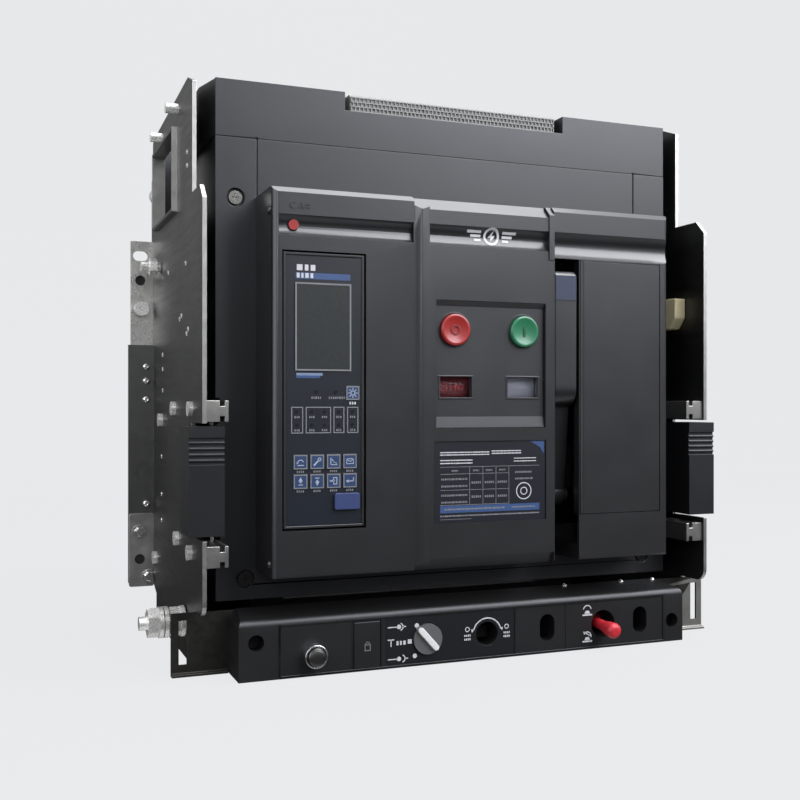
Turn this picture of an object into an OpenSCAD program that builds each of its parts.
// Three-pole draw-out air circuit breaker in its cradle.
// Origin: centre of the flat underside of the cradle. +Z up, -Y towards the operator, +X to the right
// as the operator sees it. Depths are measured from the front face of the racking panel.

/* [Breaker case] */
// Width of the moulded breaker case
case_w = 390; // [384:1:391]
// Height of the case top above the mounting plane
case_top = 433.6; // [430:0.2:440]
// Depth of the case front wall behind the racking panel
case_front = 42.6; // [41:0.2:44]
// Wall thickness of the mouldings
wall = 8; // [6:0.5:9]
// Distance between the poles
pole_pitch = 117; // [114:1:119]

/* [Facia] */
// Width of the raised front facia
facia_w = 330; // [320:1:340]
// How far the facia stands in front of the racking panel
facia_proud = 6.7; // [5:0.1:8]
// Top of the facia
facia_top = 347.5; // [345:0.5:350]

/* [Buttons and flags] */
// Radius of the ON and OFF push buttons
button_r = 12; // [10:0.5:13]
// Distance from the middle of the button panel to each button
button_offset = 29; // [26:1:31]
// Height of the ON and OFF buttons
button_z = 250; // [246:1:254]
// Radial clearance round a push button
button_gap = 0.35; // [0.3:0.05:0.5]
// Radius of the flag drums
flag_r = 20; // [17:0.5:21]

/* [Cradle] */
// Outer width over the side plates
cradle_w = 423.4; // [421:0.2:426]
// Side plate thickness
plate_t = 3; // [2:0.5:3]
// Rear edge of the side plates
plate_back = 236; // [232:1:240]
// Width of the black racking panel
panel_w = 371; // [360:1:380]

/* [Racking] */
// Sideways place of the racking screw
screw_x = 4.6; // [0:0.1:10]
// Height of the racking screw
screw_z = 19.4; // [18:0.1:21]
// Radius of the racking screw
screw_r = 6; // [5:0.5:6]

/* [Main circuit] */
// Width of a terminal blade
blade_w = 80; // [60:1:84]
// Thickness of a terminal blade
blade_t = 20; // [16:1:20]
// Height of the middle of the upper blades
upper_z = 272; // [270:1:274]
// Height of the middle of the lower blades
lower_z = 122; // [120:1:124]

/* [Hidden] */
$fn = 48;
front_y = -140;
face = -facia_proud;
case_x = case_w / 2;
facia_x = facia_w / 2;
plate_x = cradle_w / 2;
plate_in = plate_x - plate_t;
plate_top = 437;
panel_x = [-187.5, panel_w - 187.5];
split_d = 100;
case_back = 186;
poles = [-pole_pitch, 0, pole_pitch];
rib_left = -58;
ridge_right = 59;
slot_x = [59.6, 81.4];
cover_x = [82, 156.8];
cover_z = [108, 307];
ctrl_x = [-158, -95.7];
ctrl_z = [105.3, 302.8];
bpanel_x = [-40.5, 51.6];
bpanel_floor = 3;
button_mid = 4.6;
bpanel_z = [176.5, 272];
window_w = 26;
window_z = [199.5, 215];
flag_x = [-23.4, 33];
flag_d = 24;
flag_z = 207;
flag_half = 15;
name_x = [-42, 52];
name_z = [105.6, 166.7];
handle_pivot = [20, 122];
handle_x = [60.4, 79.4];
shaft_c = [86, 150];
cam_c = [78, 235];
contact_pivot = [140, 152];
contact_tilt = 14;
rail_z = [182, 80];
guide_in = 192.9;
guide_h = 15;
groove_x = [195.6, 199];
groove_t = 4;
screw_hole = [[-180, 346.7], [180, 346.7], [-173, 65.3], [173, 65.3]];
rivet_dz = [[118, 191], [44.5, 191], [104, 90], [48, 86], [184, 181], [215, 60]];
hook_x = 135;
// Window of a side plate, as depth and height, inside its collar
window_d = [112.5, 211.5];
window_h = [348, 409.5];
collar_t = 2.5;
// Fixings of the side plates, as [depth, z]
tie_pin_dz = [[103, 424], [182, 420]];
bolt_dz = [195, 312];
earth_dz = [72, 32];
ear_x = 222.6;
ear_screw_z = 279;
// Controls on the racking panel, as [x, z]; the lever's pin as [x, depth, z]
pointer_at = [-44.7, 19.6];
release_at = [-132.8, 15.1];
lever_at = [107.3, 24, 19.3];
key_slot_x = [56.7, 141.9];
panel_screw_at = [[-175, 26.8], [172.9, 17.1]];
// Details of the facia
reset_at = [-149, 321];
scoop_depth = 4.2;
key_x = [-144.4, -132.2, -119.9, -107.6];
key_z = [139.6, 153.4];
panel_width = bpanel_x + [0.2, -0.2];
button_x = [button_mid - button_offset, button_mid + button_offset];

// ---- shared shapes -------------------------------------------------------

// Box from ranges of x, depth and height
module slab(x, d, z)
  translate([x[0], front_y + d[0], z[0]]) cube([x[1] - x[0], d[1] - d[0], z[1] - z[0]]);

// Round bar along depth
module rod_y(x, z, d, r)
  translate([x, front_y + d[0], z]) rotate([-90, 0, 0]) cylinder(r = r, h = d[1] - d[0]);

// Round bar along x
module rod_x(x, d, z, r)
  translate([x[0], front_y + d, z]) rotate([0, 90, 0]) cylinder(r = r, h = x[1] - x[0]);

// Round bar along z
module rod_z(x, d, z, r)
  translate([x, front_y + d, z[0]]) cylinder(r = r, h = z[1] - z[0]);

// Side view outline, points of [depth, z], extruded over a range of x
module side_profile(x, pts)
  translate([x[0], front_y, 0]) rotate([90, 0, 90]) linear_extrude(x[1] - x[0]) polygon(pts);

// Plan outline, points of [x, depth], extruded over a range of z
module plan_profile(z, pts)
  translate([0, front_y, z[0]]) linear_extrude(z[1] - z[0]) polygon(pts);

// Front view outline, points of [x, z], extruded over a range of depth
module front_profile(d, pts)
  translate([0, front_y + d[1], 0]) rotate([90, 0, 0]) linear_extrude(d[1] - d[0]) polygon(pts);

module both_sides() {
  children();
  mirror([1, 0, 0]) children();
}

// Points of an arc in steps, angles in degrees
function arc(c, r, a0, a1, n = 8) =
  [for (i = [0:n]) c + r * [cos(a0 + (a1 - a0) * i / n), sin(a0 + (a1 - a0) * i / n)]];

// Upright slot with round ends
module slot_y(x, z, r, d)
  union() {
    rod_y(x, z[0] + r, d, r);
    rod_y(x, z[1] - r, d, r);
    slab([x - r, x + r], d, [z[0] + r, z[1] - r]);
  }

// ---- cradle --------------------------------------------------------------

// Outline of a side plate, with a step back where the rail grip sits
plate_outline = concat(
  [[36.2, 21], [195, 21], [plate_back, 36]],
  arc([plate_back - 6, 424], 6, 0, 90, 4),
  [[62, plate_top], [44, plate_top - 7], [44, 348.5], [15.5, 348.5], [5, 338]],
  [[5, 181], [48, 181], [48, 99], [5, 99]],
  arc([15, 56], 10, 180, 270, 6),
  [[36.2, 46]]);

module cradle_side_plate() {
  color("silver") union() {
    difference() {
      side_profile([plate_in, plate_x], plate_outline);
      slab([plate_in - 1, plate_x + 1], window_d + [-1, 1], window_h + [-1, 1]);
      rod_x([plate_in - 1, plate_x + 1], earth_dz[0], earth_dz[1], 6);
      for (p = rivet_dz) rod_x([plate_in - 1, plate_x + 1], p[0], p[1], 3.2);
      rod_x([plate_in - 1, plate_x + 1], bolt_dz[0], bolt_dz[1], 4.5);
      for (p = tie_pin_dz) rod_x([plate_in - 1, plate_x + 1], p[0], p[1], 4.1);
    }
    difference() {
      slab([plate_in - 4, plate_x + 4], window_d + [-collar_t, collar_t],
        window_h + [-collar_t, collar_t]);
      slab([plate_in - 5, plate_x + 5], window_d, window_h);
    }
    slab([plate_x, 233.5], [plate_back - 3, plate_back], [36, 247]);
  }
}

module cradle_side_plate_right() cradle_side_plate();
module cradle_side_plate_left() mirror([1, 0, 0]) cradle_side_plate();

// Folded tray with wide front flanges and the two bearings of the racking screw
module cradle_base_tray() {
  color("lightgray") difference() {
    union() {
      slab([-plate_in, plate_in], [36.2, plate_back], [0, 2]);
      both_sides() slab([plate_in - 2, plate_in], [36.2, plate_back], [0, 44]);
      slab([-plate_in, plate_in], [plate_back - 2, plate_back], [0, 40]);
      slab([-228.6, 228.6], [34.2, 36.2], [0, 45]);
      both_sides() slab([188, 228.6], [30, 34.2], [0, 2]);
      slab([screw_x - 14, screw_x + 14], [36.2, 44], [2, 34]);
      slab([screw_x - 14, screw_x + 14], [164, 172], [2, 34]);
    }
    rod_y(screw_x, screw_z, [36.2, 172.1], screw_r + 0.05);
    rod_y(screw_x, screw_z, [34, 36.3], 9);
    both_sides() slab([217.3, 223], [34, 36.4], [8, 39.5]);
    for (x = key_slot_x) slab([x - 7, x + 7], [34, 36.4], [8, 32]);
    slab([94, 121], [34, 36.4], [6, 32]);
  }
}

// Side outline of the racking panel, with its rounded top edge
panel_outline = concat([[0, 0], [34, 0], [34, 46], [28, 46]], arc([5, 38], 5, 100, 180, 5));

// Black front panel that holds the racking controls
module racking_panel() {
  color([0.13, 0.13, 0.14]) difference() {
    intersection() {
      side_profile(panel_x, panel_outline);
      front_profile([-1, 35], concat([[panel_x[0], 0], [panel_x[1], 0]],
        arc([panel_x[1] - 9, 37], 9, 0, 90, 6), arc([panel_x[0] + 9, 37], 9, 90, 180, 6)));
    }
    rod_y(screw_x, screw_z, [-1, 35], 9);
    rod_y(pointer_at[0], pointer_at[1], [-1, 6], 11.8);
    rod_y(pointer_at[0], pointer_at[1], [5, 35], 4.05);
    rod_y(release_at[0], release_at[1], [-1, 35], 7);
    slab([-103.1, -82.1], [-1, 31], [1.6, 36.4]);
    rod_y(lever_at[0], lever_at[2], [-1, 35], 10.8);
    rod_x([lever_at[0] - 15.3, lever_at[0] + 14.7], lever_at[1], lever_at[2], 2.55);
    for (x = key_slot_x) slot_y(x, [9.5, 30.5], 6.5, [-1, 35]);
    for (p = panel_screw_at) {
      rod_y(p[0], p[1], [-1, 35], 3);
      rod_y(p[0], p[1], [-1, 12], 5.8);
    }
    slab([-78, 28], [-1, 0.6], [2.5, 37]);
  }
}

// Printed plate behind the pointer and the crank hole
module panel_symbol_plate() {
  color([0.1, 0.12, 0.2]) difference() {
    slab([-77.8, 27.8], [0.1, 0.6], [2.7, 36.8]);
    rod_y(pointer_at[0], pointer_at[1], [-1, 2], 12);
    rod_y(screw_x, screw_z, [-1, 2], 9.2);
  }
}

// Chrome collar round the release button
module button_bezel() {
  color([0.85, 0.86, 0.88]) difference() {
    rod_y(release_at[0], release_at[1], [-7, 0], 8.4);
    rod_y(release_at[0], release_at[1], [-8, 1], 7);
  }
}

// Blades and outer connection palms share one bar through the base
module terminals(z) {
  color([0.72, 0.45, 0.2]) for (x = poles) difference() {
    slab([x - blade_w / 2, x + blade_w / 2], [196, 368], [z - blade_t / 2, z + blade_t / 2]);
    for (sx = [-20, 20], d = [300, 340]) rod_z(x + sx, d, [z - 15, z + 15], 6.5);
  }
}
module upper_terminals() terminals(upper_z);
module lower_terminals() terminals(lower_z);

module rear_insulating_base() {
  color([0.2, 0.2, 0.21]) difference() {
    slab([-plate_in, plate_in], [plate_back, plate_back + 26], [60, 400]);
    for (x = poles, z = [upper_z, lower_z])
      slab([x - blade_w / 2, x + blade_w / 2], [plate_back - 1, plate_back + 27],
        [z - blade_t / 2, z + blade_t / 2]);
  }
}

// Upright walls between the terminals
module pole_barriers() {
  color([0.2, 0.2, 0.21])
    for (x = [-1.5, -0.5, 0.5, 1.5] * pole_pitch)
      slab([x - 4, x + 4], [plate_back + 26, plate_back + 86], [70, 330]);
}

// Guide bars screwed to the side plate: the rail's edges run in their grooves
module guide(z) {
  color("silver") difference() {
    slab([guide_in, plate_in], [7, 182], [z, z + guide_h]);
    slab(groove_x, [6, 183], [z + guide_h - groove_t, z + guide_h + 1]);
    slab(groove_x, [6, 183], [z - 1, z + groove_t]);
  }
}
module upper_guide_right() guide(rail_z[0]);
module upper_guide_left() mirror([1, 0, 0]) guide(rail_z[0]);
module lower_guide_right() guide(rail_z[1]);
module lower_guide_left() mirror([1, 0, 0]) guide(rail_z[1]);

// Angle pieces for screwing the cradle to a cubicle
module mounting_ears() {
  color("silver") both_sides() difference() {
    slab([plate_x, 231], [plate_back, plate_back + 3], [244, 339.5]);
    hull() {
      rod_y(ear_x - 2, 326.6, [230, 245], 4.5);
      rod_y(ear_x + 2, 326.6, [230, 245], 4.5);
    }
    rod_y(ear_x, 304.6, [230, 245], 4.5);
    rod_y(ear_x, ear_screw_z, [230, 245], 4.1);
  }
}

// Screws along X through each side plate, and the ear screws
module side_plate_screws() {
  color([0.8, 0.8, 0.82]) both_sides() {
    for (p = rivet_dz) {
      rod_x([plate_in, plate_x], p[0], p[1], 3);
      rod_x([plate_x, plate_x + 3.5], p[0], p[1], 5.5);
    }
    rod_x([plate_in, plate_x + 3], bolt_dz[0], bolt_dz[1], 4);
    translate([plate_x + 3, front_y + bolt_dz[0], bolt_dz[1]]) rotate([0, 90, 0])
      cylinder(r = 7.5, h = 6, $fn = 6);
    rod_x([plate_x + 9, plate_x + 16], bolt_dz[0], bolt_dz[1], 4);
    rod_y(ear_x, ear_screw_z, [plate_back - 4, plate_back + 3], 4);
    rod_y(ear_x, ear_screw_z, [plate_back - 8, plate_back - 4], 6.5);
  }
}

// Round pins that hold the cross ties at the top
module side_plate_pins() {
  color([0.8, 0.8, 0.82]) both_sides()
    for (p = tie_pin_dz) rod_x([plate_in, plate_x + 10], p[0], p[1], 4);
}

// Stud, two hexagon nuts and washers on the left plate
module earth_terminal() {
  color([0.8, 0.8, 0.78]) {
    rod_x([-246, -plate_in], earth_dz[0], earth_dz[1], 5);
    for (x = [-240, -224]) translate([x, front_y + earth_dz[0], earth_dz[1]]) rotate([0, 90, 0])
      difference() {
        cylinder(r = 11, h = 8, $fn = 6);
        translate([0, 0, -1]) cylinder(r = 5, h = 10);
      }
    for (x = [-231.8, -228, -215.9]) difference() {
      rod_x([x, x + 3], earth_dz[0], earth_dz[1], 11.5);
      rod_x([x - 1, x + 4], earth_dz[0], earth_dz[1], 5);
    }
  }
}

// Cream blocks that centre the breaker between the side plates
function guide_block(d) = [[d, 268], [d + 8, 259], [d + 32, 259], [d + 32, 285], [d, 285]];

module nylon_guide_blocks() {
  color([0.93, 0.9, 0.75]) {
    side_profile([198, plate_in], guide_block(30));
    side_profile([-plate_in, -198], guide_block(128));
  }
}

module panel_screws() {
  color([0.15, 0.15, 0.16]) {
    for (p = panel_screw_at) {
      rod_y(p[0], p[1], [12, 34], 3);
      rod_y(p[0], p[1], [8, 12], 5);
    }
  }
}

// ---- moving pieces of the cradle -----------------------------------------

module extension_rail() {
  color("silver") difference() {
    slab(groove_x + [0.3, -0.3], [44, 181],
      [rail_z[1] + guide_h - groove_t + 0.4, rail_z[0] + groove_t - 0.4]);
    for (d = [70, 150]) rod_x(groove_x + [-1, 1], d, 140, 6);
  }
}
module extension_rail_right() extension_rail();
module extension_rail_left() mirror([1, 0, 0]) extension_rail();

// Black moulded grip with four raised ribs
module rail_grip() {
  color([0.16, 0.16, 0.18]) union() {
    slab([195.7, 220.6], [8.5, 44], [102, 179]);
    for (z = [155, 159, 163.2, 167.4])
      side_profile([195.7, 220.6], concat([[8.6, z + 1.2], [8.6, z - 1.2]],
        arc([8.6, z], 1.2, -90, -270, 6)));
    slab([195.7, 220.6], [7, 8.6], [171, 179]);
    slab([195.7, 220.6], [7, 8.6], [102, 152]);
  }
}
module rail_grip_right() rail_grip();
module rail_grip_left() mirror([1, 0, 0]) rail_grip();

module racking_screw() {
  color([0.7, 0.7, 0.72]) union() {
    rod_y(screw_x, screw_z, [30, 172], screw_r);
    rod_y(screw_x, screw_z, [24, 30], 8.4);
    slab([screw_x - 4.5, screw_x + 4.5], [10, 24], [screw_z - 4.5, screw_z + 4.5]);
  }
}

module racking_carriage() {
  color([0.75, 0.75, 0.76]) difference() {
    union() {
      slab([-150, 150], [120, 146], [8, 34]);
      both_sides() slab([hook_x - 12, hook_x + 12], [120, 146], [34, 49.2]);
    }
    rod_y(screw_x, screw_z, [119, 147], screw_r + 0.35);
  }
}

// Pointer knob, turned by the carriage
module position_indicator() {
  color([0.6, 0.62, 0.64]) union() {
    rod_y(pointer_at[0], pointer_at[1], [-1.5, 5.6], 11.4);
    rod_y(pointer_at[0], pointer_at[1], [5.6, 33], 4);
    translate([pointer_at[0], front_y, pointer_at[1]]) rotate([0, -132, 0])
      translate([-6.5, -3.5, -2.1]) cube([19, 3, 4.2]);
  }
}

module racking_release_button() {
  color([0.12, 0.12, 0.13]) union() {
    rod_y(release_at[0], release_at[1], [-8, 20], 6.6);
    rod_y(release_at[0], release_at[1], [20, 27], 4);
  }
}

module padlock_slider() {
  color([0.14, 0.14, 0.15]) difference() {
    slab([-102.7, -82.5], [-0.8, 28], [2, 36]);
    rod_x([-104, -81], 8, 12, 3.5);
  }
}

// Red peg on a cross pin, a little below level at rest
module locking_lever() {
  color([0.8, 0.1, 0.1]) translate([lever_at[0], front_y + lever_at[1], lever_at[2]])
    rotate([4, 0, 0]) union() {
    rotate([90, 0, 0]) rotate_extrude()
      polygon(concat([[0, -4], [5, -4], [5, 8], [4.2, 14], [4.2, 26], [5.6, 33]],
        arc([2, 39], 4.2, 0, 90, 6), [[0, 43.2]]));
    translate([-13, 0, 0]) rotate([0, 90, 0]) cylinder(r = 2.5, h = 26);
  }
}

// Insulating plates with three windows each, moved by the breaker
module shutter(z, win) {
  color([0.55, 0.2, 0.15]) difference() {
    slab([-203, 203], [188.5, 191.5], z);
    for (x = poles) slab([x - 45, x + 45], [188, 192], win);
  }
}
module upper_shutter() shutter([244, 345], [252, 300]);
module lower_shutter() shutter([94, 178], [102, 150]);

// ---- breaker case --------------------------------------------------------

// Grooves along the case sides for the lips of the guide channels
module guide_grooves()
  both_sides() for (z = rail_z)
    slab([guide_in - 1, case_x + 1], [40, 190], [z - 2, z + guide_h + 2]);

module front_case() {
  color([0.26, 0.26, 0.28]) difference() {
    slab([-case_x, case_x], [case_front, split_d], [50, 391]);
    slab([-case_x + wall, case_x - wall], [case_front + 4.4, split_d + 1], [58, 383]);
    slab([-150, 150], [case_front - 1, case_front + 5], [95, 330]);
    guide_grooves();
    both_sides() slab([163.4, 164.6], [case_front - 1, case_front + 1.2], [348, 392]);
    for (p = screw_hole) {
      rod_y(p[0], p[1], [case_front - 1, case_front + 3.4], 6.8);
      rod_y(p[0], p[1], [case_front + 3, case_front + 5], 2.5);
    }
  }
}

// Three pole chambers open at the top and towards the mechanism
module rear_case() {
  color([0.22, 0.22, 0.24]) difference() {
    slab([-case_x, case_x], [split_d, case_back], [50, 391]);
    for (x = poles)
      slab([x - (pole_pitch - wall) / 2, x + (pole_pitch - wall) / 2],
        [split_d - 1, case_back - wall], [58, 392]);
    for (x = poles, z = [upper_z, lower_z])
      slab([x - blade_w / 2, x + blade_w / 2], [case_back - wall - 1, case_back + 1],
        [z - blade_t / 2, z + blade_t / 2]);
    guide_grooves();
    both_sides() slab([hook_x - 13, hook_x + 13], [119.8, case_back + 1], [49, 50.4]);
  }
}

// Plan of the top cover, which widens behind the case front
cover_x_back = case_x + 6.4;
cover_plan = [[-case_x, case_front], [case_x, case_front], [case_x, 46], [cover_x_back, 73],
  [cover_x_back, case_back], [-cover_x_back, case_back], [-cover_x_back, 73], [-case_x, 46]];

module arc_chute_cover() {
  color([0.27, 0.27, 0.29]) difference() {
    plan_profile([391.2, case_top], cover_plan);
    for (x = poles) slab([x - 50, x + 50], [106, 174], [390, 424]);
    slab([-95, 95], [case_front - 1, 56], [419.5, case_top + 1]);
    for (x = poles, i = [-4:4]) slab([x + i * 10 - 1.6, x + i * 10 + 1.6], [112, 168], [423, case_top + 1]);
    both_sides() slab([163.4, 164.6], [case_front - 1, case_front + 1.2], [391, 392]);
  }
}

module secondary_terminal_block() {
  color([0.62, 0.62, 0.62])
    side_profile([-90.5, 88.5], [[45.2, 419.5], [56, 419.5], [56, 433.2], [47.5, 433.2],
      [44.8, 430.5]]);
}

// Stacks of steel splitter plates in insulating cheeks
module arc_chutes() {
  color([0.6, 0.55, 0.45]) for (x = poles) union() {
    for (s = [-1, 1])
      slab([x + s * 43 - 2, x + s * 43 + 2], [108, 170], [300, 418]);
    for (i = [0:8])
      slab([x - 44, x + 44], [110 + i * 7, 112 + i * 7], [304, 416]);
  }
}

// ---- facia ---------------------------------------------------------------

// Hollow under the top band: a shallow arc from one edge to the other
function scoop(low, high, depth) =
  let (chord = high - low, r = (chord * chord / 4 + depth * depth) / (2 * depth),
       c = [face + depth - r, (low + high) / 2], half = asin(chord / 2 / r))
  arc(c, r, -half, half, 10);

// Side outline of one section of the facia
function facia_outline(bottom, foot, hollow, bevel) = concat(
  [[case_front, bottom], [face + foot, bottom], [face, bottom + foot]], hollow,
  [[face, facia_top - bevel], [face + bevel, facia_top], [case_front, facia_top]]);

module facia_section(x, bottom, foot, hollow, bevel)
  side_profile(x, facia_outline(bottom, foot, hollow, bevel));

// Raised rib beside the middle section, with a crest towards the left
module facia_rib()
  intersection() {
    plan_profile([70, facia_top], [[-45.7, face + 2], [-58.4, face + 2], [-58.4, face + 0.4],
      [-53.2, face - 2.3], [-52.2, face - 2.5], [-51.2, face - 2.2], [-45.7, face]]);
    side_profile([-60, -44], [[face + 6, 71], [face - 3, 80], [face - 3, 337.5],
      [face + 7, facia_top], [face + 9, facia_top], [face + 9, 71]]);
  }

// Plan outline that rounds the two upright outer edges
facia_plan = concat([[facia_x, case_front], [-facia_x, case_front]],
  arc([-facia_x + 5, face + 5], 5, 180, 270, 6), arc([facia_x - 5, face + 5], 5, 270, 360, 6));

module facia() {
  color([0.3, 0.3, 0.32]) difference() {
    union() {
      intersection() {
        union() {
          facia_section([-facia_x, -facia_x + 4.5], 72, 1.5, [], 4);
          facia_section([-facia_x + 4.49, rib_left], 72, 1.5, scoop(313, 328, scoop_depth), 4);
          facia_section([rib_left - 0.01, ridge_right + 0.01], 71, 9,
            scoop(312.5, 328, scoop_depth), 9);
          facia_section([ridge_right, facia_x], 72.5, 1.5, scoop(308, 328, scoop_depth + 0.8), 4);
        }
        plan_profile([70, 350], facia_plan);
      }
      facia_rib();
      side_profile([ridge_right - 4.5, ridge_right], [[face - 1, 306], [face - 1, 340.5],
        [face + 6, facia_top], [case_front, facia_top], [case_front, 306]]);
    }
    slab([-facia_x + 4, facia_x - 4], [face + 9, case_front + 1], [84, 343]);
    slab([-facia_x + 4, facia_x - 4], [face + 3, face + 10], [84, 303]);
    slab(ctrl_x, [face - 1, face + 10], ctrl_z);
    slab(bpanel_x, [face - 1, face + 10], bpanel_z);
    slab(name_x, [face - 2, face + 1.4], name_z);
    slab(slot_x, [face - 2, case_front + 1], [70, 307.6]);
    slab(cover_x, [face - 1, face + 10], cover_z);
    rod_y(reset_at[0], reset_at[1], [face - 2, case_front + 1], 4.1);
    both_sides() rod_y(155, 347, [20, case_front + 1], 4);
  }
}

module controller() {
  color([0.2, 0.21, 0.24]) difference() {
    union() {
      slab(ctrl_x + [1.2, -1.2], [face + 1, 38], ctrl_z + [1.2, -1.2]);
      slab([-149, ctrl_x[1] - 2], [38, case_front + 6], [120, 290]);
    }
    slab([ctrl_x[0] + 3, ctrl_x[1] - 3], [face, face + 2.6], [ctrl_z[0] + 3, ctrl_z[1] - 3]);
  }
}

// Printed membrane with the raised keys
module key_membrane() {
  color([0.12, 0.15, 0.26]) union() {
    slab([ctrl_x[0] + 3.2, ctrl_x[1] - 3.2], [face + 1.8, face + 2.6], [ctrl_z[0] + 3.2, ctrl_z[1] - 3.2]);
    for (x = key_x, z = key_z) slab([x - 5.2, x + 5.2], [face + 1.3, face + 1.9], [z - 5.2, z + 5.2]);
    slab([-110.5, -100.3], [face + 1.3, face + 1.9], [197.4, 207.4]);
  }
}

module controller_screen() {
  color([0.27, 0.3, 0.3]) slab([-147.4, -107.6], [face + 1.1, face + 1.8], [219, 279.6]);
}

module controller_tab() {
  color([0.3, 0.35, 0.6]) slab([-119.4, -100.6], [face - 0.6, face + 1.8], [119, 130.7]);
}

// Recessed panel with the two push button bores and two flag windows
module button_panel() {
  color([0.24, 0.24, 0.26]) difference() {
    union() {
      slab(panel_width, [face + bpanel_floor, face + 8], [184, bpanel_z[1] - 0.2]);
      side_profile(panel_width, [[face + 1.8, bpanel_z[0] + 0.2], [face + 8, bpanel_z[0] + 0.2],
        [face + 8, 185], [face + bpanel_floor, 185]]);
      side_profile(panel_width, [[face + 0.3, bpanel_z[1] - 0.2], [face + 8, bpanel_z[1] - 0.2],
        [face + 8, 267], [face + bpanel_floor, 268]]);
      for (x = flag_x)
        slab([x - 14.4, x + 14.4], [face + bpanel_floor - 0.5, face + bpanel_floor + 1], [198, 215.8]);
      for (x = button_x)
        rod_y(x, button_z, [face + bpanel_floor - 0.4, face + bpanel_floor + 1], button_r + 1.3);
    }
    for (x = button_x) rod_y(x, button_z, [face, face + 9], button_r + button_gap);
    for (x = flag_x)
      slab([x - window_w / 2, x + window_w / 2], [face + 1, face + 9], window_z);
  }
}

module nameplate() {
  color([0.08, 0.12, 0.3])
    slab([name_x[0] + 0.4, name_x[1] - 0.4], [face + 0.8, face + 1.4], [name_z[0] + 0.4, name_z[1] - 0.4]);
}

module right_cover() {
  color([0.31, 0.31, 0.33])
    plan_profile([cover_z[0] + 0.4, cover_z[1] - 0.4], concat(
      [[cover_x[1] - 0.4, face + 0.4], [cover_x[1] - 0.4, face + 9.9], [cover_x[0] + 0.3, face + 9.9]],
      arc([cover_x[0] + 4.3, face + 3.6], 4, 180, 270, 6)));
}

// ---- mechanism -----------------------------------------------------------

module mechanism_frame() {
  color([0.62, 0.63, 0.65]) {
    for (x = [-52, 50]) difference() {
      slab([x, x + 3], [50, 99], [62, 320]);
      rod_x([x - 1, x + 4], shaft_c[0], shaft_c[1], 10.05);
      rod_x([x - 1, x + 4], cam_c[0], cam_c[1], 7.05);
    }
    rod_x([-49, 50], 60, 306, 5);
    rod_x([-49, 50], 60, 76, 5);
    rod_x([56, 84], handle_pivot[0], handle_pivot[1], 5);
  }
}

// Bars from the contacts to the jaws, with fixed contact tips on the upper ones
module conductors(z, d0) {
  color([0.72, 0.45, 0.2]) for (x = poles)
    slab([x - blade_w / 2, x + blade_w / 2], [d0, 192], [z - blade_t / 2, z + blade_t / 2]);
}
module upper_conductors() conductors(upper_z, 150.4);
module lower_conductors() conductors(lower_z, 120);

// Spring-loaded finger clusters above and below each blade
module jaw_contacts() {
  color([0.8, 0.78, 0.74]) for (x = poles, z = [upper_z, lower_z], s = [-1, 1])
    translate([0, 0, z]) scale([1, 1, s]) difference() {
      slab([x - 38, x + 38], [187, 231], [blade_t / 2 + 0.3, blade_t / 2 + 7]);
      for (i = [-2:2]) slab([x + i * 12.6 - 0.7, x + i * 12.6 + 0.7], [194, 232],
        [blade_t / 2, blade_t / 2 + 8]);
    }
}

module current_transformers() {
  color([0.15, 0.15, 0.16]) for (x = poles) difference() {
    slab([x - 50, x + 50], [158, 176], [lower_z - 24, lower_z + 24]);
    slab([x - 42, x + 42], [157, 177], [lower_z - 12, lower_z + 12]);
  }
}

// Pan heads with a cross recess
module case_screws() {
  color([0.85, 0.85, 0.86]) for (p = screw_hole) difference() {
    union() {
      rod_y(p[0], p[1], [case_front + 0.6, case_front + 3.4], 5);
      rod_y(p[0], p[1], [case_front + 3.4, case_front + 4.4], 2.5);
    }
    slab([p[0] - 2.8, p[0] + 2.8], [case_front, case_front + 2], [p[1] - 0.6, p[1] + 0.6]);
    slab([p[0] - 0.6, p[0] + 0.6], [case_front, case_front + 2], [p[1] - 2.8, p[1] + 2.8]);
  }
}

// Dished button cap on a stem
module push_button(x, r)
  translate([x, front_y + face, button_z]) rotate([-90, 0, 0]) rotate_extrude()
    polygon(concat([[0, 0.9]], [for (i = [0:6]) [i * (r - 2) / 6, 0.9 - 1.3 * pow(i / 6, 2)]],
      arc([r - 1.4, 1], 1.4, -90, 0, 4), [[r, 12], [4, 12], [4, 34], [0, 34]]));

module off_button() color([0.85, 0.15, 0.13]) push_button(button_x[0], button_r);
module on_button() color([0.1, 0.6, 0.3]) push_button(button_x[1], button_r);

module reset_button() {
  color([0.9, 0.2, 0.15]) union() {
    rod_y(reset_at[0], reset_at[1], [face + 2.5, 26], 3.7);
    rod_y(reset_at[0], reset_at[1], [26, 32], 6);
  }
}

// Curved flag that turns behind its window
module flag_drum(x)
  difference() {
    rod_x([x - flag_half, x + flag_half], flag_d, flag_z, flag_r);
    slab([x - 16, x + 16], [flag_d, flag_d + 30], [flag_z - 30, flag_z + 30]);
    rod_x([x - 16, x + 16], flag_d, flag_z, 4);
  }
module on_off_flag() color([0.6, 0.08, 0.12]) flag_drum(flag_x[0]);
module charge_flag() color([0.75, 0.75, 0.78]) flag_drum(flag_x[1]);

// Side outline of the lever: a long grip that narrows to its arm and hinges low down
handle_outline = concat(
  [[face + 10, 297], [face + 3, 298], [face + 0.6, 295], [face + 0.2, 210]],
  arc([face + 14, 206], 13.8, 180, 262, 6),
  [[face + 13.5, 176], [face + 16, 150], [handle_pivot[0] - 8, handle_pivot[1] + 4]],
  arc(handle_pivot, 9, 160, 380, 10),
  [[face + 31, 176], [face + 24, 200], [face + 14, 230]]);

module charging_handle() {
  color([0.2, 0.2, 0.22]) difference() {
    side_profile(handle_x, handle_outline);
    rod_x([59, 82], handle_pivot[0], handle_pivot[1], 5.05);
  }
}

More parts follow.
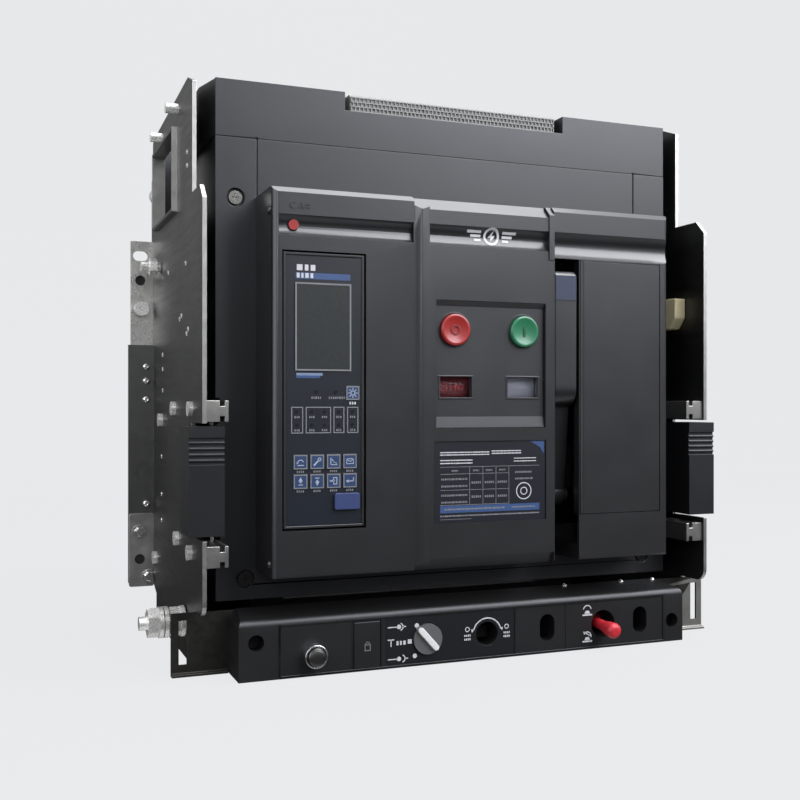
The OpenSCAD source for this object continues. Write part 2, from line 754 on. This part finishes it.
module main_shaft() {
  color([0.6, 0.6, 0.62]) union() {
    rod_x([-150, 150], shaft_c[0], shaft_c[1], 10);
    for (x = poles) {
      side_profile([x - 5, x + 5], concat(arc(shaft_c, 13, 20, 200, 8),
        arc(shaft_c + [-6, -26], 5, 200, 380, 6)));
    }
  }
}

// Contact arms, tips and insulated carriers on one pivot bar, leaning forward when open
module moving_contacts() {
  color([0.72, 0.45, 0.2])
    translate([0, front_y + contact_pivot[0], contact_pivot[1]]) rotate([contact_tilt, 0, 0])
      for (x = poles) union() {
        translate([x - 46, 0, 0]) rotate([0, 90, 0]) cylinder(r = 6, h = 92);
        for (i = [-2:2]) translate([x + i * 15 - 5, -6, 0]) cube([10, 10, 129]);
        translate([x - 35, 4, 112]) cube([70, 6, 17]);
      }
}

// Cam on the charging shaft
module charging_cam() {
  color([0.66, 0.66, 0.68]) union() {
    rod_x([-56, 56], cam_c[0], cam_c[1], 7);
    side_profile([-10, 10], concat(arc(cam_c, 12, 60, 300, 10), arc(cam_c + [7, 0], 13, -60, 60, 8)));
  }
}

// ---- one piece at a time -------------------------------------------------

cradle_side_plate_left();
cradle_side_plate_right();
cradle_base_tray();
racking_panel();
panel_symbol_plate();
button_bezel();
rear_insulating_base();
pole_barriers();
upper_terminals();
lower_terminals();
upper_guide_left();
upper_guide_right();
lower_guide_left();
lower_guide_right();
mounting_ears();
side_plate_screws();
side_plate_pins();
earth_terminal();
nylon_guide_blocks();
panel_screws();
extension_rail_left();
rail_grip_left();
extension_rail_right();
rail_grip_right();
racking_screw();
racking_carriage();
position_indicator();
racking_release_button();
padlock_slider();
locking_lever();
upper_shutter();
lower_shutter();
front_case();
rear_case();
arc_chute_cover();
secondary_terminal_block();
arc_chutes();
facia();
controller();
key_membrane();
controller_screen();
controller_tab();
button_panel();
nameplate();
right_cover();
mechanism_frame();
upper_conductors();
lower_conductors();
jaw_contacts();
current_transformers();
case_screws();
off_button();
on_button();
reset_button();
on_off_flag();
charge_flag();
charging_handle();
main_shaft();
moving_contacts();
charging_cam();
